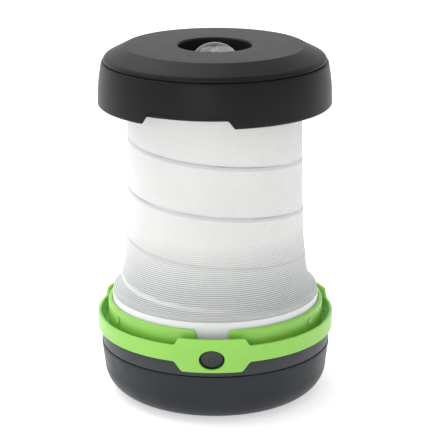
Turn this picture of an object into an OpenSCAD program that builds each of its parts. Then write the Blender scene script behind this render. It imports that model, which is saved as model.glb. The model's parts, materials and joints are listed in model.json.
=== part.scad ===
// Collapsible camping lantern with a torch in its cap.
// The front, with the power button, faces -Y. The origin is the centre of the base's underside.

/* [Levels] */
// Height of the lower cup, up to its parting line
cup_h = 21; // [19.5:0.1:22]
// Underside of the handle band
band_z = 27.6; // [27.2:0.1:28]
// Height of the handle band
band_h = 6.9; // [6.5:0.1:7.2]
// Top edge of the green collar
collar_top = 39.9; // [39:0.1:40.4]
// Rim of the cap with the shade pulled out
rim_z = 123.4; // [120:0.5:126]
// Parting line between the cap's skirt and its top, above the rim
skirt_h = 18.2; // [18:0.1:18.6]
// Cap's top face, above the parting line
dome_h = 5.8; // [5.4:0.1:6.4]

/* [Radii] */
// Cap's rim
cap_r = 48.15; // [48:0.05:48.25]
// Cap's flat top
top_r = 36.9; // [34:0.1:38]
// Torch recess in the cap's top
recess_r = 15.1; // [14.6:0.1:16]
// Lower cup at its parting line
cup_r = 48.3; // [47.8:0.1:48.6]
// Housing ring above the cup
housing_r = 48; // [47.8:0.05:48]
// Outside of the handle band
band_r = 49.6; // [49.4:0.1:50.2]
// Outside of the collar
collar_r = 45.3; // [45:0.05:45.4]
// Shade at its top
shade_r = 36.1; // [35.9:0.05:36.1]

/* [Shade] */
// Thickness of the shade's cloth solid
cloth_t = 0.5; // [0.3:0.1:0.6]
// Rise of one turn of the wire
wire_pitch = 20.95; // [18:0.05:24]
// Thickness of the wire
wire_d = 1.2; // [0.8:0.1:1.4]

/* [Moulded walls] */
// Wall of the outer mouldings
wall = 2; // [1.6:0.1:2.2]
// Thin inner walls
thin = 1.5; // [1.2:0.1:1.6]

/* [Hidden] */
$fn = 96;
eps = 0.01;
far = 120;

charcoal = "#3c3e40";
leaf = "#8fe04a";
frost = "#e6e6e4";

// Cap levels
seam_z = rim_z + skirt_h;
seam_gap = 0.3;
top_z = seam_z + dome_h;
shelf_z = rim_z + 12.2;
shelf_t = 1.2;
flange_z = shelf_z + shelf_t + 0.2;
flange_t = 1.1;
floor_z = flange_z + flange_t + 0.2;
floor_t = 1.2;
skirt_bulge_r = 80;
rim_round = 1;
skirt_top = seam_z - seam_gap;
skirt_top_r = cap_r - skirt_bulge_r + sqrt(pow(skirt_bulge_r, 2) - pow(skirt_top - rim_z - 1, 2));
edge_cut = 0.5;
bore_r = cap_r - 1.75;
ledge_z = floor_z + floor_t + 0.1;
floor_r = 44.6;
cap_screw_r = 42.9;

// Bayonet: the cap turns from its free place to its locked place
lock_turn = 12.4;
lug_at = 61;
lug_half = 1.6;
hook_half = 3.2;
notch_h = 3.1;
notch_top = 16.9;
notch_mouth = 19.1;
step_h = 5.4;
step_top = 14.3;
step_deep = 0.5;

// Torch
lens_r = 12.1;
lens_top = top_z + 0.8;
lens_mid = lens_top - lens_r;
recess_floor = top_z - 6.2;
barrel_r = 14.4;
barrel_z = rim_z + 4.2;
barrel_top = recess_floor - 1.7;
lens_seat = barrel_top - 1.6;

// Base levels
line_gap = 0.4;
deck_z = cup_h + line_gap;
deck_t = 1.4;
housing_top = band_z + 0.2;
ledge_t = 1.4;
button_z = 29;
button_rx = 4.75;
button_ry = 3.65;
travel_gap = 0.2;
window_gap = 0.4;
pad_half = 8;
gap_half = 8.5;
gap_round = 1.8;
pad_top = 35.2;
board_z = 24.1;
board_t = 1.6;
switch_front = -42.5;
led_z = 29.6;
plate_z = led_z + board_t + 0.3;
foot_top = 43.9;
foot_step = 42.8;
foot_out = 43.35;
foot_in = 41.8;

// Handle pivots
pivot_y = 19.3;
pivot_z = 30.3;
pin_r = 1.25;
ear_mid = 113.2;
ear_end = 120.6;
ear_rise = 3.3;
tab_rise = 3.2;
tab_drop = 4;
flank_mid = 55;
flank_half = 14;
flank_relief = 0.5;

// Batteries
cell_r = 7.1;
cell_len = 49.3;
nub_len = 1.2;
cell_z = 11.6;
cell_pitch = 15.2;
tray_x = 24.6;
tray_y = 30.6;
tray_in_y = 29.2;
boss_x = 42.9;
pad_x = 47;
pocket_r = 6.7;
pocket_x = 41.2;
collar_screw_at = [30, 150, 270 - 45, 270 + 45];
collar_screw_r = 39.3;
door_x = 22.5;
door_y = 29;
cup_screw_at = [[34.5, 15], [-34.5, 15], [34.5, -15], [-34.5, -15]];
post_at = [for (a = [90, 210, 330]) [28 * cos(a), 28 * sin(a)]];

// ---------- helpers ----------

// A ring of rectangular section
module ring(r_in, r_out, z0, z1) {
    difference() {
        translate([0, 0, z0]) cylinder(r = r_out, h = z1 - z0);
        translate([0, 0, z0 - 1]) cylinder(r = r_in, h = z1 - z0 + 2);
    }
}

// A wedge of sky about the -Y direction, used to cut ring sectors
module front_wedge(half, z0, z1) {
    rotate([0, 0, -90]) translate([0, 0, z0])
        rotate_extrude(angle = 2 * half, start = -half) square([far, z1 - z0]);
}

// A part of a ring, centred on an azimuth counted from the front
module ring_part(r_in, r_out, z0, z1, mid, half) {
    rotate([0, 0, mid - 90]) translate([0, 0, z0]) rotate_extrude(angle = 2 * half, start = -half)
        translate([r_in, 0]) square([r_out - r_in, z1 - z0]);
}

function ellipse(rx, ry) = [for (a = [0:7.5:359]) [rx * cos(a), ry * sin(a)]];

// An oval bar along Y, centred on the button
module oval_bar(rx, ry, y0, y1) {
    translate([0, y1, button_z]) rotate([90, 0, 0]) linear_extrude(y1 - y0)
        polygon(ellipse(rx, ry));
}

// Trapezium in the X-Z plane pushed through the front wall
module front_trapezium(half_low, half_high, z0, z1, turn = 0) {
    rotate([0, 0, turn]) rotate([90, 0, 0]) linear_extrude(far)
        polygon([[-half_low, z0], [half_low, z0], [half_high, z1], [-half_high, z1]]);
}

// Pan-head screw standing on its head, shank up
module screw(head_r, head_h, shank_r, length) {
    difference() {
        cylinder(r = head_r, h = head_h, $fn = 32);
        for (a = [0, 90]) rotate([0, 0, a])
            translate([-head_r * 0.6, -0.25, -1]) cube([head_r * 1.2, 0.5, 1 + head_h * 0.5]);
    }
    translate([0, 0, head_h - eps]) cylinder(r = shank_r, h = length + eps, $fn = 32);
}

// A tube of n_side sides swept through a list of points
function unit(v) = v / norm(v);
function heading(p, i) = unit(p[min(i + 1, len(p) - 1)] - p[max(i - 1, 0)]);
function rim_point(p, i, r, a, up) =
    let (t = heading(p, i), s = unit(cross(t, up)), u = cross(s, t))
    p[i] + r * (cos(a) * s + sin(a) * u);
module swept(p, r, up = [0, 0, 1], n_side = 8) {
    rings = [for (i = [0:len(p) - 1]) for (k = [0:n_side - 1])
        rim_point(p, i, r, k * 360 / n_side, up)];
    sides = [for (i = [0:len(p) - 2]) for (k = [0:n_side - 1])
        [i * n_side + k, i * n_side + (k + 1) % n_side,
         (i + 1) * n_side + (k + 1) % n_side, (i + 1) * n_side + k]];
    first = [for (k = [n_side - 1:-1:0]) k];
    last = [for (k = [0:n_side - 1]) (len(p) - 1) * n_side + k];
    polyhedron(rings, concat(sides, [first, last]), convexity = 8);
}

// ---------- shade ----------

// Outer radius of the shade: a near-straight tube with a bell mouth at its foot
shade_foot = 45;
shade_head = flange_z + 0.9;
bell_wide = 3.7;
bell_long = 20;
flare_wide = 3.3;
flare_long = 2.6;
function shade_at(z) = shade_r + bell_wide * exp((shade_foot - z) / bell_long)
    + flare_wide * exp((shade_foot - z) / flare_long);
shade_levels = concat([for (z = [0:1:6]) shade_foot + z], [for (z = [8:3:20]) shade_foot + z],
    [for (z = [26:9:80]) shade_foot + z], [shade_head]);

module shade_cloth() {
    outer = [for (z = shade_levels) [shade_at(z), z]];
    inner = [for (i = [len(shade_levels) - 1:-1:0])
        [shade_at(shade_levels[i]) - cloth_t, shade_levels[i]]];
    foot_r = shade_at(shade_foot);
    color(frost) rotate_extrude() polygon(concat([[foot_r, foot_step + 0.1]], outer, inner,
        [[foot_r - cloth_t, foot_step + 0.1]]));
}

// The wire rises clockwise seen from above, and passes the front at front_z.
// Two turns below that, its turns close up.
front_z = rim_z - 18.1;
close_z = front_z - 2 * wire_pitch;
close_pitch = wire_pitch * 0.8;
function turns_at(z) = z > close_z ? (z - front_z) / wire_pitch : (z - close_z) / close_pitch - 2;
wire_low = foot_top + 3;
wire_high = rim_z + 5;
lead_lift = 1.6;
function wire_point(z, inset, lift) =
    let (a = -90 - turns_at(z) * 360, r = shade_at(z + lift) - cloth_t - inset)
    [r * cos(a), r * sin(a), z + lift];
module coil(inset, r, lift) {
    steps = 79;
    swept([for (i = [0:steps]) wire_point(wire_low + (wire_high - wire_low) * i / steps, inset, lift)],
        r);
}
module shade_wire() {
    color("gainsboro") coil(0.2 + wire_d / 2, wire_d / 2, 0);
}
module torch_lead() {
    color("white") coil(0.75, 0.5, lead_lift);
}

module head_clamp() {
    color("white") ring(shade_r - cloth_t - 1.6, shade_r - cloth_t - 0.15, rim_z + 7.4, flange_z + 0.9);
}
module head_ring() {
    color("white") union() {
        ring(shade_r + 0.3, 38.2, rim_z + 7.1, flange_z + flange_t);
        ring(38, 40.6, flange_z, flange_z + flange_t);
    }
}

// ---------- cap ----------

// Outside of the skirt, a slow bulge that stands upright at the rim
module skirt_outline(inset = 0) {
    intersection() {
        translate([0, rim_z]) square([cap_r - inset, skirt_h - seam_gap]);
        translate([cap_r - inset - skirt_bulge_r, rim_z + 1]) circle(r = skirt_bulge_r, $fn = 360);
    }
}

module skirt_section() {
    bore_top = rim_z + 6;
    difference() {
        skirt_outline();
        translate([0, rim_z - 1]) square([bore_r, bore_top - rim_z + 1]);
        intersection() {
            translate([0, bore_top - eps]) square([cap_r, shelf_z - bore_top]);
            skirt_outline(inset = 1.6);
        }
        translate([0, shelf_z + shelf_t]) square([floor_r + 0.15, ledge_z - shelf_z - shelf_t]);
        translate([0, shelf_z - 1]) square([38.6, far]);
        translate([0, ledge_z - eps]) square([40, far]);
        translate([cap_r - rim_round, rim_z - eps]) difference() {
            square([rim_round + 1, rim_round]);
            translate([0, rim_round]) circle(r = rim_round, $fn = 48);
        }
        // bevel along the parting line
        translate([skirt_top_r, skirt_top]) polygon([[-edge_cut, eps], [1, eps], [1, -1 - edge_cut]]);
    }
}

module cap_skirt() {
    color(charcoal) union() {
        difference() {
            rotate_extrude() skirt_section();
            front_trapezium(notch_mouth, notch_top, rim_z - eps, rim_z + notch_h, -lock_turn);
            // shallow step above the notch, where the handle's tab lies when the lantern is shut
            intersection() {
                front_trapezium(notch_top - 0.4, step_top, rim_z + notch_h - 0.5, rim_z + step_h,
                    -lock_turn);
                ring(cap_r - step_deep, far / 2, rim_z, rim_z + step_h);
            }
            for (a = [45:90:315]) rotate([0, 0, a]) translate([cap_screw_r, 0, ledge_z - 1])
                cylinder(r = 1.1, h = 6, $fn = 32);
        }
        for (s = [-1, 1]) ring_part(bore_r - 0.75, bore_r + 0.3, rim_z + 0.4, rim_z + 1.7,
            s * lug_at - lock_turn, hook_half);
    }
}

// Top cover: flat top, long cone, soft shoulder and a locating rib
module cap_top_section() {
    shoulder_r = 2.2;
    edge_r = 45.7;
    difference() {
        union() {
            polygon([[0, seam_z], [edge_r - shoulder_r, seam_z], [edge_r - 1.05, seam_z + 2.15],
                [top_r, top_z], [0, top_z]]);
            intersection() {
                translate([edge_r - shoulder_r, seam_z + 0.25]) circle(r = shoulder_r);
                translate([0, seam_z + 0.25]) square([edge_r, 5]);
            }
            translate([edge_r - shoulder_r - 1, seam_z]) square([shoulder_r + 1, 0.3]);
        }
        polygon([[0, seam_z - 1], [40.6, seam_z - 1], [40.6, seam_z + 0.6], [top_r - 0.6, top_z - wall],
            [0, top_z - wall]]);
    }
    translate([38.3, seam_z - 1.5]) square([thin, 4]);
}

module cap_top() {
    recess_wall = 1.6;
    color(charcoal) difference() {
        union() {
            rotate_extrude() cap_top_section();
            ring(recess_r, recess_r + recess_wall, recess_floor - 1.5, top_z - 1);
            ring(11.8, recess_r + recess_wall, recess_floor - 1.5, recess_floor);
        }
        translate([0, 0, recess_floor]) cylinder(r = recess_r, h = 20);
        for (a = [45:90:315]) rotate([0, 0, a]) translate([cap_screw_r, 0, seam_z - 1])
            cylinder(r = 1.05, h = 2.6, $fn = 32);
    }
}

module cap_floor() {
    color("white") difference() {
        ring(barrel_r + 0.2, floor_r, floor_z, floor_z + floor_t);
        for (a = [45:90:315]) rotate([0, 0, a]) translate([cap_screw_r, 0, floor_z - 1])
            cylinder(r = 1.1, h = 4, $fn = 32);
        for (a = [30:120:270]) rotate([0, 0, a]) translate([17, 0, floor_z - 1])
            cylinder(r = 0.95, h = 4, $fn = 32);
    }
}

module cap_screws() {
    color("silver") for (a = [45:90:315]) rotate([0, 0, a])
        translate([cap_screw_r, 0, floor_z - 1.15]) screw(1.45, 1.1, 1, 4.6);
}

// ---------- torch ----------

module torch_lens() {
    color("lightcyan") union() {
        intersection() {
            translate([0, 0, lens_mid]) sphere(r = lens_r);
            translate([0, 0, lens_seat + 1]) cylinder(r = 11.6, h = 20);
        }
        translate([0, 0, lens_seat + 0.1]) cylinder(r = 12.9, h = 1.3);
    }
}

module torch_barrel() {
    color("dimgray") difference() {
        union() {
            translate([0, 0, barrel_z]) cylinder(r = barrel_r, h = barrel_top - barrel_z);
            translate([0, 0, floor_z - 1.3]) cylinder(r = 19.4, h = 1.2);
        }
        translate([0, 0, barrel_z + thin]) cylinder(r = 11.9, h = 20);
        translate([0, 0, lens_seat]) cylinder(r = 13.05, h = 20);
        translate([5, 0, barrel_z - 1]) cylinder(r = 1.4, h = 4, $fn = 32);
        for (a = [30:120:270]) rotate([0, 0, a]) translate([17, 0, floor_z - 2])
            cylinder(r = 0.95, h = 4, $fn = 32);
    }
}

module torch_screws() {
    color("silver") for (a = [30:120:270]) rotate([0, 0, a])
        translate([17, 0, floor_z - 2.35]) screw(1.5, 1, 0.85, 2.6);
}

module torch_board() {
    color("silver") difference() {
        translate([0, 0, barrel_z + thin + 0.05]) cylinder(r = 10, h = board_t);
        for (a = [30:120:270]) rotate([0, 0, a]) translate([9.6, 0, barrel_z])
            cylinder(r = 1.3, h = 6, $fn = 32);
    }
}
torch_board_top = barrel_z + thin + 0.05 + board_t;

module torch_led() {
    color("khaki") union() {
        translate([-1.75, -1.75, torch_board_top]) cube([3.5, 3.5, 0.8]);
        intersection() {
            translate([0, 0, torch_board_top + 0.4]) sphere(r = 1.5, $fn = 48);
            translate([0, 0, torch_board_top + 0.5]) cylinder(r = 1.6, h = 3);
        }
    }
}

module torch_reflector() {
    low = torch_board_top + 0.1;
    high = lens_seat - 0.1;
    color("whitesmoke") rotate_extrude()
        polygon([[2.8, low], [4, low], [8, low + 1.6], [11.7, high],
            [10.7, high], [7.2, low + 2.6], [2.8, low + 0.9]]);
}

// ---------- base, upper part ----------

module foot_ring() {
    color(frost) difference() {
        union() {
            ring(foot_in, foot_out, housing_top + ledge_t + 0.1, foot_step);
            ring(foot_in, shade_at(shade_foot) - cloth_t - 0.1, foot_step - eps, foot_top - 0.6);
            ring(foot_in, 42.2, foot_top - 0.6 - eps, foot_top);
        }
        translate([-5.5, -50, 20]) cube([11, 20, 13.2]);
    }
}

// Bar along X through both handle pivots
module pivot_bar(r, x_in, x_out) {
    for (s = [-1, 1]) translate([s * (x_in + x_out) / 2, pivot_y, pivot_z]) rotate([0, 90, 0])
        cylinder(r = r, h = x_out - x_in, center = true, $fn = 64);
}

// What is cut off the top corner of the collar's end, right of the gap
module gap_corner() {
    gap_x = collar_r * sin(gap_half);
    rotate([90, 0, 0]) linear_extrude(far) difference() {
        translate([gap_x - eps, collar_top - gap_round]) square(gap_round + eps);
        translate([gap_x + gap_round, collar_top - gap_round]) circle(r = gap_round, $fn = 48);
    }
}

module collar() {
    floor_top = housing_top + ledge_t;
    color(leaf) difference() {
        union() {
            ring(foot_out + 0.2, collar_r, floor_top - eps, collar_top);
            difference() {
                ring(37.4, 47.85, housing_top + 0.05, floor_top);
                pivot_bar(pocket_r, pocket_x, 60);
            }
            for (s = [-1, 1])
                ring_part(collar_r - 0.4, collar_r + 0.7, 34.6, 37.4, s * lug_at, lug_half);
            // pivot bosses, with a rib down to the collar's floor
            difference() {
                union() {
                    pivot_bar(1.95, 38, boss_x);
                    for (s = [-1, 1]) translate([s * (boss_x - 2), pivot_y, floor_top])
                        cube([4, 3.9, 2.2], center = true);
                }
                translate([0, 0, 20]) cylinder(r = collar_r - 0.4, h = 20);
            }
        }
        front_wedge(pad_half + 1, 20, 33);
        front_wedge(gap_half, floor_top, 60);
        for (s = [0, 1]) mirror([s, 0, 0]) gap_corner();
        pivot_bar(pin_r, 40.4, 60);
        for (a = collar_screw_at) rotate([0, 0, a]) translate([collar_screw_r, 0, 20])
            cylinder(r = 1.2, h = 20, $fn = 32);
    }
}

module collar_screws() {
    color("silver") for (a = collar_screw_at) rotate([0, 0, a])
        translate([collar_screw_r, 0, housing_top + ledge_t + 1.1]) rotate([180, 0, 0])
            screw(1.7, 1, 1, 4.5);
}

module light_plate() {
    color("white") difference() {
        union() {
            translate([0, 0, plate_z]) cylinder(r = 40, h = 1.3);
            ring(39, 41.5, plate_z, plate_z + 1.3);
        }
        for (a = [22.5:45:360]) rotate([0, 0, a]) translate([20, 0, plate_z - 1])
            cylinder(r = 4, h = 4, $fn = 48);
        for (p = post_at) translate([p[0], p[1], plate_z - 1]) cylinder(r = 1.2, h = 4, $fn = 32);
        translate([-4, -45, plate_z - 1]) cube([8, 7, 4]);
    }
}

module led_board() {
    color("ivory") difference() {
        translate([0, 0, led_z]) cylinder(r = 34, h = board_t);
        for (p = post_at) translate([p[0], p[1], led_z - 1]) cylinder(r = 1.2, h = 4, $fn = 32);
        translate([0, 24, led_z - 1]) cylinder(r = 2, h = 4, $fn = 32);
    }
}

module lantern_leds() {
    color("khaki") for (a = [22.5:45:360]) rotate([0, 0, a]) translate([20, 0, led_z + board_t])
        difference() {
            translate([-2.5, -2.5, 0]) cube([5, 5, 1.4]);
            translate([0, 0, 1.1]) cylinder(r = 2, h = 1, $fn = 32);
        }
}

module light_screws() {
    color("silver") for (p = post_at) translate([p[0], p[1], plate_z + 2.5]) rotate([180, 0, 0])
        screw(2.2, 1.1, 1.05, 7);
}

module main_board() {
    color("seagreen") difference() {
        union() {
            translate([0, 0, board_z]) cylinder(r = 36, h = board_t);
            translate([-8, switch_front, board_z]) cube([16, 20, board_t]);
        }
        for (p = post_at) translate([p[0], p[1], board_z - 1]) cylinder(r = 2.2, h = 4, $fn = 48);
    }
}

module board_parts() {
    top = board_z + board_t;
    color("black") union() {
        translate([-12, -18, top]) cube([6, 5, 1.5]);
        translate([8, -12, top]) cube([7, 7, 3.2]);
        translate([-18, 8, top]) cube([4, 8, 3]);
        translate([14, 10, top]) cube([4, 8, 3]);
        translate([0, 6, top]) cylinder(r = 2.6, h = 3.2, $fn = 32);
    }
}

module switch_body() {
    color("#333333") difference() {
        translate([-3, switch_front, board_z + board_t]) cube([6, 3.8, 6]);
        translate([0, switch_front + 2.2, button_z]) rotate([90, 0, 0])
            cylinder(r = 1.3, h = 4, $fn = 32);
    }
}

module switch_plunger() {
    color("black") translate([0, switch_front + 1.1, button_z]) rotate([90, 0, 0])
        cylinder(r = 1.2, h = 1.9, $fn = 32);
}

module power_button() {
    flange_y = -45.4;
    color("#4a4c50") union() {
        intersection() {
            oval_bar(button_rx, button_ry, -50, flange_y + 0.2);
            translate([0, 0, 10]) cylinder(r = 48.15, h = 40);
        }
        oval_bar(button_rx + 1.1, button_ry + 0.9, flange_y, flange_y + 0.9);
        translate([0, switch_front - 0.8, button_z]) rotate([90, 0, 0])
            cylinder(r = 1.5, h = 1.4, $fn = 32);
    }
}

// ---------- base, lower part ----------

module base_housing() {
    color(charcoal) difference() {
        union() {
            ring(housing_r - wall, housing_r, deck_z, housing_top);
            ring_part(housing_r - wall, housing_r, housing_top - 1, pad_top, 0, pad_half);
            translate([0, 0, deck_z]) cylinder(r = housing_r - 1, h = deck_t);
            ring(44.5, 46, deck_z - 2.8, deck_z + 1);
            for (p = cup_screw_at) translate([p[0], p[1], 6.1])
                cylinder(r = 3.6, h = deck_z - 6.1 + 1, $fn = 48);
            for (p = post_at) translate([p[0], p[1], deck_z + 1]) {
                cylinder(r = 3.2, h = board_z - deck_z - 1, $fn = 48);
                cylinder(r = 2, h = led_z - deck_z - 1, $fn = 48);
            }
            for (a = collar_screw_at) rotate([0, 0, a]) translate([collar_screw_r, 0, deck_z + 1])
                cylinder(r = 2.6, h = housing_top - deck_z - 1, $fn = 48);
            intersection() {
                pivot_bar(pocket_r + 1.6, pocket_x - 2, 60);
                translate([0, 0, deck_z + 0.5])
                    cylinder(r = housing_r - 0.5, h = housing_top - deck_z - 0.5);
            }
        }
        pivot_bar(pocket_r, pocket_x, 60);
        for (a = collar_screw_at) rotate([0, 0, a]) translate([collar_screw_r, 0, deck_z + 2])
            cylinder(r = 1.05, h = 10, $fn = 32);
        oval_bar(button_rx + travel_gap, button_ry + travel_gap, -60, -40);
        for (p = cup_screw_at) translate([p[0], p[1], 5]) cylinder(r = 1.2, h = 11, $fn = 32);
        for (p = post_at) translate([p[0], p[1], deck_z + 2]) cylinder(r = 1.1, h = 20, $fn = 32);
        for (s = [-1, 1]) translate([s * 28, 0, deck_z - 1]) cylinder(r = 1, h = 4, $fn = 32);
        translate([10, -26, deck_z - 1]) cylinder(r = 2, h = 4, $fn = 32);
    }
}

// Solid outline of the lower cup, drawn in by an inset
corner_r = 12;
corner_mid = 35.2;
module cup_outline(inset) {
    wall_r = corner_mid + corner_r;
    translate([0, inset]) square([corner_mid, corner_r - inset]);
    intersection() {
        translate([corner_mid, corner_r]) circle(r = corner_r - inset, $fn = 180);
        square([wall_r, corner_r]);
    }
    polygon([[0, corner_r], [wall_r - inset, corner_r], [cup_r - inset, cup_h], [0, cup_h]]);
}

module base_cup() {
    color(charcoal) difference() {
        union() {
            rotate_extrude() difference() {
                cup_outline(0);
                cup_outline(wall);
                translate([0, cup_h - 1]) square([cup_r - wall, 5]);
            }
            for (p = cup_screw_at) translate([p[0], p[1], 1.2]) cylinder(r = 4.2, h = 4.8, $fn = 48);
        }
        translate([-door_x - 0.3, -door_y - 0.3, -1]) cube([2 * door_x + 0.6, 2 * door_y + 0.6, 4]);
        hinge_bar(hinge_pin_r + 0.05, door_x + 1.8);
        for (p = cup_screw_at) translate([p[0], p[1], -1]) cylinder(r = 2.9, h = 4.6, $fn = 48);
        for (p = cup_screw_at) translate([p[0], p[1], 1]) cylinder(r = 1.3, h = 8, $fn = 32);
    }
}

module base_screws() {
    color("silver") for (p = cup_screw_at) translate([p[0], p[1], 1.7]) screw(2.5, 1.85, 1.1, 10.5);
}

module battery_tray() {
    tray_top = deck_z - 0.1;
    color("#2b2b2b") difference() {
        union() {
            translate([-tray_x, -tray_y, 3.2]) cube([2 * tray_x, 2 * tray_y, tray_top - 3.2]);
            for (s = [-1, 1]) translate([s * 27 - 3.4, -5, tray_top - thin]) cube([6.8, 10, thin]);
        }
        for (i = [-1:1]) translate([i * cell_pitch - 7.35, -tray_in_y, 0])
            cube([14.7, 2 * tray_in_y, tray_top - thin]);
        for (s = [-1, 1]) translate([s * 28, 0, 10]) cylinder(r = 1, h = 20, $fn = 32);
    }
}

module tray_screws() {
    color("silver") for (s = [-1, 1]) translate([s * 28, 0, deck_z - 0.1 - thin - 1.05])
        screw(1.8, 1, 0.9, 2.8);
}

function cell_way(i) = i == 0 ? -1 : 1;

module aa_cells() {
    color("darkgoldenrod") for (i = [-1:1]) translate([i * cell_pitch, cell_way(i) * 28.6, cell_z])
        rotate([cell_way(i) * 90, 0, 0]) {
            cylinder(r = 2.75, h = nub_len + 1);
            translate([0, 0, nub_len]) cylinder(r = cell_r, h = cell_len);
        }
}

module contact_plates() {
    color("silver") for (i = [-1:1]) for (s = [-1, 1])
        translate([i * cell_pitch - 6, s * (tray_in_y - 0.25) - 0.2, cell_z - 5.5]) cube([12, 0.4, 11]);
}

// Cone springs between each cell's flat end and its contact plate
module contact_springs() {
    flat_end = 28.6 - nub_len - cell_len;
    from_y = 0.85 - tray_in_y;
    long = flat_end - 0.4 - from_y;
    steps = 52;
    turns = 4;
    color("silver") for (i = [-1:1]) translate([i * cell_pitch, 0, cell_z])
        rotate([0, 0, cell_way(i) > 0 ? 0 : 180])
            swept([for (k = [0:steps]) let (u = k / steps, a = u * turns * 360, r = 4.6 - 1.6 * u)
                [r * cos(a), from_y + u * long, r * sin(a)]], 0.32, [0, 1, 0], 6);
}

// The door's rounded rear edge, with a pin at each end, is its hinge
door_z = 0.3;
door_t = 1.6;
hinge_y = door_y - door_t / 2;
hinge_z = door_z + door_t / 2;
hinge_pin_r = 0.6;
module hinge_bar(r, half) {
    translate([0, hinge_y, hinge_z]) rotate([0, 90, 0])
        cylinder(r = r, h = 2 * half, center = true, $fn = 48);
}

module battery_door() {
    color(charcoal) difference() {
        union() {
            translate([-door_x, -door_y, door_z]) cube([2 * door_x, door_y + hinge_y, door_t]);
            hinge_bar(door_t / 2, door_x);
            hinge_bar(hinge_pin_r, door_x + 1.6);
            for (i = [-1:1]) translate([i * cell_pitch - 4, -22, door_z + 1.5]) cube([8, 44, 1.4]);
            for (s = [-1, 1]) translate([s * 13 - 3, -door_y + 0.6, door_z + 1.5]) cube([6, 1.4, 2.2]);
        }
        // finger scoop of the latch at the front edge
        translate([0, -door_y + 4, -3.2]) rotate([0, 90, 0])
            cylinder(r = 4.4, h = 14, center = true, $fn = 64);
    }
}

// ---------- handle ----------

module handle() {
    inner = band_r - 1.25;
    top = band_z + band_h;
    color(leaf) difference() {
        union() {
            intersection() {
                translate([0, 0, 10]) cylinder(r = band_r, h = 40);
                union() {
                    translate([0, 0, band_z]) cylinder(r = far, h = band_h);
                    front_trapezium(15.7, 13.3, top - 1, top + tab_rise);
                    front_trapezium(12.2, 16.1, band_z - tab_drop, band_z + 1);
                    for (s = [-1, 1]) front_trapezium(6.6, 4.4, top - 1, top + ear_rise, s * ear_mid);
                }
                front_wedge(ear_end, 0, 60);
            }
            pivot_bar(3.2, 42, pad_x);
        }
        cylinder(r = inner, h = 60);
        // thinner flanks, which clear the shut cap's shoulder
        for (s = [-1, 1])
            ring_part(inner - 1, inner + flank_relief, 0, 60, s * flank_mid, flank_half);
        oval_bar(button_rx + window_gap, button_ry + window_gap, -60, -40);
        pivot_bar(pin_r + 0.05, 38, 60);
    }
}

module handle_pins() {
    color("silver") union() {
        pivot_bar(pin_r, 40.5, pad_x + 0.15);
        pivot_bar(2.1, pad_x + 0.1, pad_x + 0.7);
    }
}

cap_top();
cap_skirt();
cap_floor();
cap_screws();
torch_lens();
torch_reflector();
torch_led();
torch_board();
torch_barrel();
torch_screws();
head_ring();
head_clamp();
shade_cloth();
shade_wire();
torch_lead();
foot_ring();
collar();
collar_screws();
light_plate();
light_screws();
lantern_leds();
led_board();
main_board();
board_parts();
switch_body();
base_housing();
base_cup();
base_screws();
handle_pins();
battery_tray();
tray_screws();
aa_cells();
contact_springs();
contact_plates();
power_button();
switch_plunger();
handle();
battery_door();
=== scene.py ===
"""A collapsible camping lantern: its looks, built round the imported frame."""
import json
import math

import bmesh
import bpy
from mathutils import Matrix, Vector


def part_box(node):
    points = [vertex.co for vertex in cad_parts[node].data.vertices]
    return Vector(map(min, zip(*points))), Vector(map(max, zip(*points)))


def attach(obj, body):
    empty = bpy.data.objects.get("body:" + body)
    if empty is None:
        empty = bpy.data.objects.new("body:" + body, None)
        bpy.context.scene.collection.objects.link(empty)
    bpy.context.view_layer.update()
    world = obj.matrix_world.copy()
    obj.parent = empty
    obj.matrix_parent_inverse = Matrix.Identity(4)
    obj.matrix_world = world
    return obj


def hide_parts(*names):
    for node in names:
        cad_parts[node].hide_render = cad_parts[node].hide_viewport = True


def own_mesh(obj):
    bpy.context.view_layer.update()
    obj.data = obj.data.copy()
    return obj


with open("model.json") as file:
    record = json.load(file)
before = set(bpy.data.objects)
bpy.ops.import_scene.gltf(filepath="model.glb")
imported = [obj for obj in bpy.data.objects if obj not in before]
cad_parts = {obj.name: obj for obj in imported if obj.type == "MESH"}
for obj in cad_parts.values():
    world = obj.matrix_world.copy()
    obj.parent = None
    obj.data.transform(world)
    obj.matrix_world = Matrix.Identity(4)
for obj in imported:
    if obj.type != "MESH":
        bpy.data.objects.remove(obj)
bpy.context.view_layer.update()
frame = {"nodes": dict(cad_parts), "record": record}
scene = bpy.context.scene
MM = 0.001
TAU = 2 * math.pi


def low(node):
    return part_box(node)[0] / MM


def high(node):
    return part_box(node)[1] / MM


# Levels and radii in millimetres, read from the frame
RIM = low("cap_skirt").z
SEAM = low("cap_top").z + 1.5           # the parting line of the cap
TOP = high("cap_top").z
CLOTH_LOW = low("shade_cloth").z
CLOTH_HIGH = high("shade_cloth").z
CAD_WIRE = 0.6                          # the CAD wire's radius
WIRE_LOW = low("shade_wire").z + CAD_WIRE
WIRE_HIGH = high("shade_wire").z - CAD_WIRE
FOOT_TOP = high("foot_ring").z
LEDGE = low("collar").z                 # the collar's floor lies on the housing here
COLLAR_TOP = high("collar").z
BAND_THICK = 1.25
BAND_R = -low("handle").y
BAND_IN = BAND_R - BAND_THICK
TAB_LOW = low("handle").z
EAR_TOP = high("handle").z
BAND_LOW = TAB_LOW + 4
BAND_HIGH = EAR_TOP - 3.3
CUP_TOP = high("base_cup").z
CUP_R = high("base_cup").x
DECK = CUP_TOP + 0.4                    # the housing's lower edge, above the base's parting line
HOUSING_R = -low("base_housing").y
HOUSING_TOP = high("base_housing").z
BUTTON = (low("power_button") + high("power_button")) / 2
KEY_X = high("power_button").x - 1.1    # half the visible key, whose CAD solid has a flange
KEY_Z = high("power_button").z - BUTTON.z - 0.9

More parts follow.
